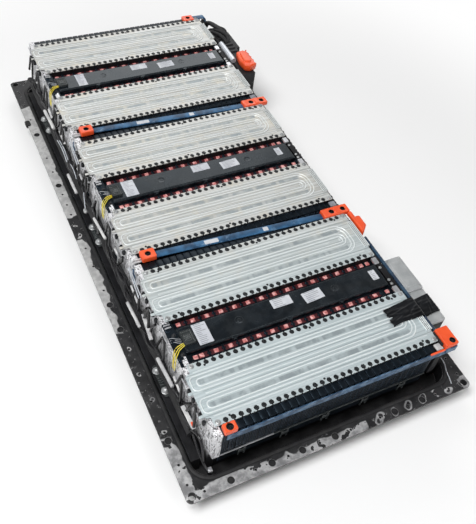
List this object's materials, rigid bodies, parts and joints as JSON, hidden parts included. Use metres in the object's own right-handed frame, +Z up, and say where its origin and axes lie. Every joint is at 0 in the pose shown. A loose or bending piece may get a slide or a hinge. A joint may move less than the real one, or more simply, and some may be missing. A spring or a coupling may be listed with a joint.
{
  "type": "electric car battery pack",
  "caption": "Open tray with cell blocks under stamped cooling plates, joined by sleeved busbars, with a control box, contactor housing and service plug.",
  "frame": {"origin": "centre of the bounding box, on the underside of the tray", "axes": "+Z up, +Y along the pack's length away from the front bar, +X across to the side with the control box"},
  "size_m": [1.082, 2.156, 0.304],
  "materials": {
    "tray_paint": "satin black paint, scuffed to bare metal at the edge",
    "black_rubber": "matte",
    "rail_steel": "matte black coat",
    "harness_tape": "wound cloth tape",
    "black_plastic": "moulded, fine grain",
    "plug_plastic": "moulded",
    "strip_steel": "bright",
    "lead_yellow": "wire sleeve",
    "bar_sleeve": "blue shrink sleeve",
    "orange_plastic": "moulded, satin",
    "pipe_navy": "smooth hose",
    "box_paint": "light grey, satin",
    "contactor_plastic": "moulded",
    "hose_foil": "foil wrap",
    "cable_orange": "smooth sheath",
    "cell_wrap": "plastic frames of the cells",
    "cast_aluminium": "cast, fine grain",
    "plate_aluminium": "rolled sheet, satin",
    "tab_copper": "bare copper",
    "stud_black": "black oxide",
    "screw_zinc": "zinc plated, dull",
    "label_paper": "blank label film",
    "label_print": "plain grey bars",
    "white_sleeve": "sleeve",
    "wire_black": "wire sleeve",
    "tape_black": "wrinkled tape",
    "cover_plastic": "moulded, satin"
  },
  "bodies": {
    "root": {"box_brackets": "rail_steel", "cable_boot": "orange_plastic", "cell_stack_1": "cell_wrap", "cell_stack_2": "cell_wrap", "cell_stack_3": "cell_wrap", "cell_tabs_1": "tab_copper", "cell_tabs_2": "tab_copper", "cell_tabs_3": "tab_copper", "clamp_strips": "strip_steel", "contactor_box": "contactor_plastic", "coolant_pipe": "pipe_navy", "cover_plugs": "plug_plastic", "cover_seal": "black_rubber", "crossing_busbars": "bar_sleeve", "crossing_left_caps": "orange_plastic", "crossing_right_caps": "orange_plastic", "edge_bumper": "black_rubber", "far_cooling_plate_1": "plate_aluminium", "far_cooling_plate_2": "plate_aluminium", "far_cooling_plate_3": "plate_aluminium", "floor_rails": "rail_steel", "front_busbar": "bar_sleeve", "front_comb_1": "black_plastic", "front_comb_2": "black_plastic", "front_comb_3": "black_plastic", "front_left_cap": "orange_plastic", "front_right_cap": "orange_plastic", "harness_trunk": "harness_tape", "junction_box": "box_paint", "junction_lid": "box_paint", "left_end_plate_1": "cast_aluminium", "left_end_plate_2": "cast_aluminium", "left_end_plate_3": "cast_aluminium", "monitor_cover_1": "cover_plastic", "monitor_cover_2": "cover_plastic", "monitor_cover_3": "cover_plastic", "mount_feet": "rail_steel", "near_cooling_plate_1": "plate_aluminium", "near_cooling_plate_2": "plate_aluminium", "near_cooling_plate_3": "plate_aluminium", "power_cable": "cable_orange", "rail_clips": "black_plastic", "rear_busbar": "bar_sleeve", "rear_cap": "orange_plastic", "rear_comb_1": "black_plastic", "rear_comb_2": "black_plastic", "rear_comb_3": "black_plastic", "right_end_plate_1": "cast_aluminium", "right_end_plate_2": "cast_aluminium", "right_end_plate_3": "cast_aluminium", "sense_leads": "lead_yellow", "service_plug": "orange_plastic", "shielded_hose": "hose_foil", "side_rails": "rail_steel", "tab_frame_1": "black_plastic", "tab_frame_2": "black_plastic", "tab_frame_3": "black_plastic", "tray": "tray_paint", "trunk_clips": "black_plastic"}
  },
  "joints": []
}
